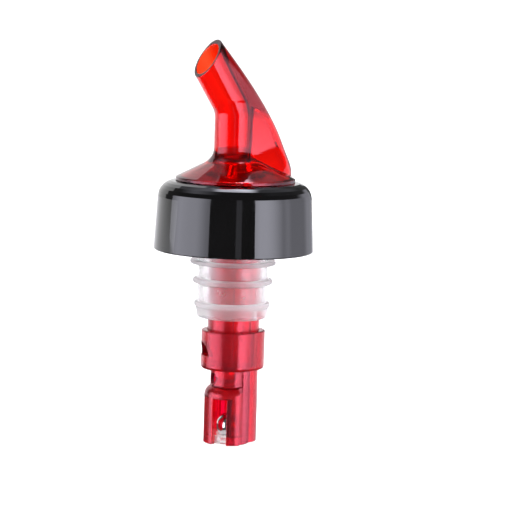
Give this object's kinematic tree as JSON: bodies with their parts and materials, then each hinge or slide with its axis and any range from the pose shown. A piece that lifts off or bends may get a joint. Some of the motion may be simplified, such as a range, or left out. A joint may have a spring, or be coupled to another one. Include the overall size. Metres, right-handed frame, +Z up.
{
  "type": "measured liquor pourer",
  "caption": "Liquor pourer for a bottle neck, with a curved hooded spout, domed collar, finned stopper, metering ring and ball cage.",
  "frame": {"origin": "on the stopper's axis, in the plane where the stopper's flange rests on the bottle's lip", "axes": "+Z up out of the bottle, -X the way the spout pours, +Y to the right of someone who pours it"},
  "size_m": [0.0445, 0.0444, 0.1124],
  "materials": {
    "clear_red": "polished, see-through",
    "frosted_red": "fine frost, see-through",
    "black": "polished",
    "milky": "waxy, translucent",
    "steel": "polished ball steel"
  },
  "bodies": {
    "pourer": {"spout": "clear_red", "collar": "black", "stopper": "milky", "measuring_tube": "frosted_red", "metering_ring": "frosted_red", "ball_cage": "frosted_red", "ball_retainer": "milky", "ball_seat": "frosted_red"},
    "timing_ball": {"timing_ball": "steel"},
    "reset_ball": {"reset_ball": "steel"}
  },
  "joints": [
    {"name": "timing_ball_travel", "type": "slide", "parent": "pourer", "child": "timing_ball", "axis": [0, 0, 1], "range_m": [0, 0.05829]},
    {"name": "reset_ball_drop", "type": "slide", "parent": "pourer", "child": "reset_ball", "axis": [0, 0, 1], "range_m": [0, 0.00676]}
  ]
}
